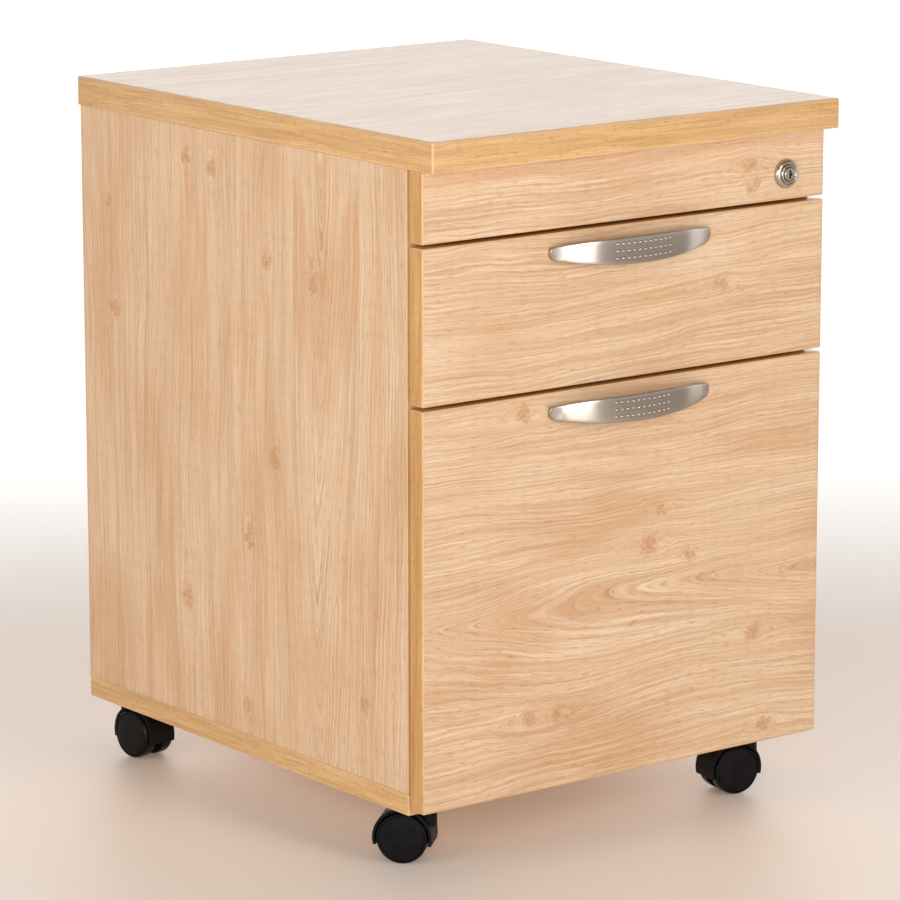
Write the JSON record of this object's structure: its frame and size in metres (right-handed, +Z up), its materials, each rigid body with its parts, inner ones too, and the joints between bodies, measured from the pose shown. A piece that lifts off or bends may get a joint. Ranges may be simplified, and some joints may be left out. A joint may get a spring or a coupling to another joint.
{
  "type": "rolling pedestal cabinet",
  "caption": "Mobile under-desk pedestal: oak box carcass on twin-wheel castors, fixed lock panel over a shallow drawer and a deep filing drawer with bow handles.",
  "frame": {"origin": "on the floor under the middle of the cabinet's bounding box, handles included", "axes": "+Z up, +X to the right as seen from the front, the drawers open towards -Y"},
  "size_m": [0.42, 0.5044, 0.595],
  "materials": {
    "oak_board": "light oak melamine-faced chipboard, satin, fine horizontal grain on the fronts and vertical on the sides",
    "oak_edging": "golden oak ABS edging strip, satin, fine lengthwise grain",
    "drawer_box_board": "pale grey foil-wrapped board, satin",
    "back_board": "oak-faced back board, satin",
    "satin_steel": "satin, brushed lengthwise",
    "zinc_steel": "bright zinc plate",
    "nickel_lock": "satin nickel plate",
    "black_steel": "black passivated steel",
    "black_nylon": "moulded nylon, slightly satin"
  },
  "bodies": {
    "cabinet": {"top_panel": "oak_board", "left_side_panel": "oak_board", "right_side_panel": "oak_board", "base_panel": "oak_board", "back_panel": "back_board", "lock_panel": "oak_board", "lock_housing": "nickel_lock", "lock_nut": "zinc_steel", "lock_bar_clip_upper": "black_nylon", "lock_bar_clip_lower": "black_nylon", "upper_cabinet_runner_left": "zinc_steel", "upper_cabinet_runner_right": "zinc_steel", "lower_cabinet_runner_left": "zinc_steel", "lower_cabinet_runner_right": "zinc_steel", "castor_front_left_plate": "black_steel", "castor_front_right_plate": "black_steel", "castor_back_left_plate": "black_steel", "castor_back_right_plate": "black_steel"},
    "upper_drawer": {"upper_drawer_front": "oak_board", "upper_drawer_left_side": "drawer_box_board", "upper_drawer_right_side": "drawer_box_board", "upper_drawer_back": "drawer_box_board", "upper_drawer_bottom": "drawer_box_board", "upper_drawer_handle": "satin_steel", "upper_drawer_catch": "zinc_steel", "upper_drawer_runner_left": "zinc_steel", "upper_drawer_runner_right": "zinc_steel"},
    "lower_drawer": {"lower_drawer_front": "oak_board", "lower_drawer_left_side": "drawer_box_board", "lower_drawer_right_side": "drawer_box_board", "lower_drawer_back": "drawer_box_board", "lower_drawer_bottom": "drawer_box_board", "lower_drawer_handle": "satin_steel", "lower_drawer_catch": "zinc_steel", "lower_drawer_runner_left": "zinc_steel", "lower_drawer_runner_right": "zinc_steel", "front_file_rail": "zinc_steel", "rear_file_rail": "zinc_steel"},
    "left_middle_slide": {"lower_middle_runner_left": "zinc_steel"},
    "right_middle_slide": {"lower_middle_runner_right": "zinc_steel"},
    "lock_cylinder": {"lock_plug": "nickel_lock", "lock_cam": "zinc_steel"},
    "lock_rod": {"locking_bar": "zinc_steel"},
    "front_left_castor": {"castor_front_left_hood": "black_nylon", "castor_front_left_axle": "zinc_steel"},
    "front_left_wheel_a": {"castor_front_left_wheel_a": "black_nylon"},
    "front_left_wheel_b": {"castor_front_left_wheel_b": "black_nylon"},
    "front_right_castor": {"castor_front_right_hood": "black_nylon", "castor_front_right_axle": "zinc_steel"},
    "front_right_wheel_a": {"castor_front_right_wheel_a": "black_nylon"},
    "front_right_wheel_b": {"castor_front_right_wheel_b": "black_nylon"},
    "back_left_castor": {"castor_back_left_hood": "black_nylon", "castor_back_left_axle": "zinc_steel"},
    "back_left_wheel_a": {"castor_back_left_wheel_a": "black_nylon"},
    "back_left_wheel_b": {"castor_back_left_wheel_b": "black_nylon"},
    "back_right_castor": {"castor_back_right_hood": "black_nylon", "castor_back_right_axle": "zinc_steel"},
    "back_right_wheel_a": {"castor_back_right_wheel_a": "black_nylon"},
    "back_right_wheel_b": {"castor_back_right_wheel_b": "black_nylon"}
  },
  "joints": [
    {"name": "upper_drawer_slide", "type": "slide", "parent": "cabinet", "child": "upper_drawer", "axis": [0, -1, 0], "range_m": [0, 0.3]},
    {"name": "lower_drawer_slide", "type": "slide", "parent": "cabinet", "child": "lower_drawer", "axis": [0, -1, 0], "range_m": [0, 0.4]},
    {"name": "left_middle_runner_slide", "type": "slide", "parent": "cabinet", "child": "left_middle_slide", "axis": [0, -1, 0], "range_m": [0, 0.2]},
    {"name": "right_middle_runner_slide", "type": "slide", "parent": "cabinet", "child": "right_middle_slide", "axis": [0, -1, 0], "range_m": [0, 0.2]},
    {"name": "lock_turn", "type": "hinge", "parent": "cabinet", "child": "lock_cylinder", "pos_m": [0.1655, -0.23175, 0.5345], "axis": [0, -1, 0], "range_deg": [0, 90]},
    {"name": "locking_bar_lift", "type": "slide", "parent": "cabinet", "child": "lock_rod", "axis": [0, 0, 1], "range_m": [0, 0.0106]},
    {"name": "front_left_swivel", "type": "hinge", "parent": "cabinet", "child": "front_left_castor", "pos_m": [-0.171, -0.18775, 0.021], "axis": [0, 0, 1], "continuous": true},
    {"name": "front_left_wheel_a_spin", "type": "hinge", "parent": "front_left_castor", "child": "front_left_wheel_a", "pos_m": [-0.18304, -0.17437, 0.021], "axis": [-0.7431, -0.6691, 0], "continuous": true},
    {"name": "front_left_wheel_b_spin", "type": "hinge", "parent": "front_left_castor", "child": "front_left_wheel_b", "pos_m": [-0.18304, -0.17437, 0.021], "axis": [-0.7431, -0.6691, 0], "continuous": true},
    {"name": "front_right_swivel", "type": "hinge", "parent": "cabinet", "child": "front_right_castor", "pos_m": [0.171, -0.18775, 0.021], "axis": [0, 0, 1], "continuous": true},
    {"name": "front_right_wheel_a_spin", "type": "hinge", "parent": "front_right_castor", "child": "front_right_wheel_a", "pos_m": [0.15327, -0.18462, 0.021], "axis": [-0.1736, -0.9848, 0], "continuous": true},
    {"name": "front_right_wheel_b_spin", "type": "hinge", "parent": "front_right_castor", "child": "front_right_wheel_b", "pos_m": [0.15327, -0.18462, 0.021], "axis": [-0.1736, -0.9848, 0], "continuous": true},
    {"name": "back_left_swivel", "type": "hinge", "parent": "cabinet", "child": "back_left_castor", "pos_m": [-0.182, 0.22725, 0.021], "axis": [0, 0, 1], "continuous": true},
    {"name": "back_left_wheel_a_spin", "type": "hinge", "parent": "back_left_castor", "child": "back_left_wheel_a", "pos_m": [-0.17981, 0.20938, 0.021], "axis": [0.9925, 0.1219, 0], "continuous": true},
    {"name": "back_left_wheel_b_spin", "type": "hinge", "parent": "back_left_castor", "child": "back_left_wheel_b", "pos_m": [-0.17981, 0.20938, 0.021], "axis": [0.9925, 0.1219, 0], "continuous": true},
    {"name": "back_right_swivel", "type": "hinge", "parent": "cabinet", "child": "back_right_castor", "pos_m": [0.182, 0.22725, 0.021], "axis": [0, 0, 1], "continuous": true},
    {"name": "back_right_wheel_a_spin", "type": "hinge", "parent": "back_right_castor", "child": "back_right_wheel_a", "pos_m": [0.17584, 0.21034, 0.021], "axis": [0.9397, -0.342, 0], "continuous": true},
    {"name": "back_right_wheel_b_spin", "type": "hinge", "parent": "back_right_castor", "child": "back_right_wheel_b", "pos_m": [0.17584, 0.21034, 0.021], "axis": [0.9397, -0.342, 0], "continuous": true}
  ],
  "couplings": [
    {"joint": "left_middle_runner_slide", "follows": "lower_drawer_slide", "ratio": 0.5},
    {"joint": "right_middle_runner_slide", "follows": "lower_drawer_slide", "ratio": 0.5},
    {"joint": "lock_turn", "follows": "locking_bar_lift", "rad_per_m": 148.18}
  ]
}
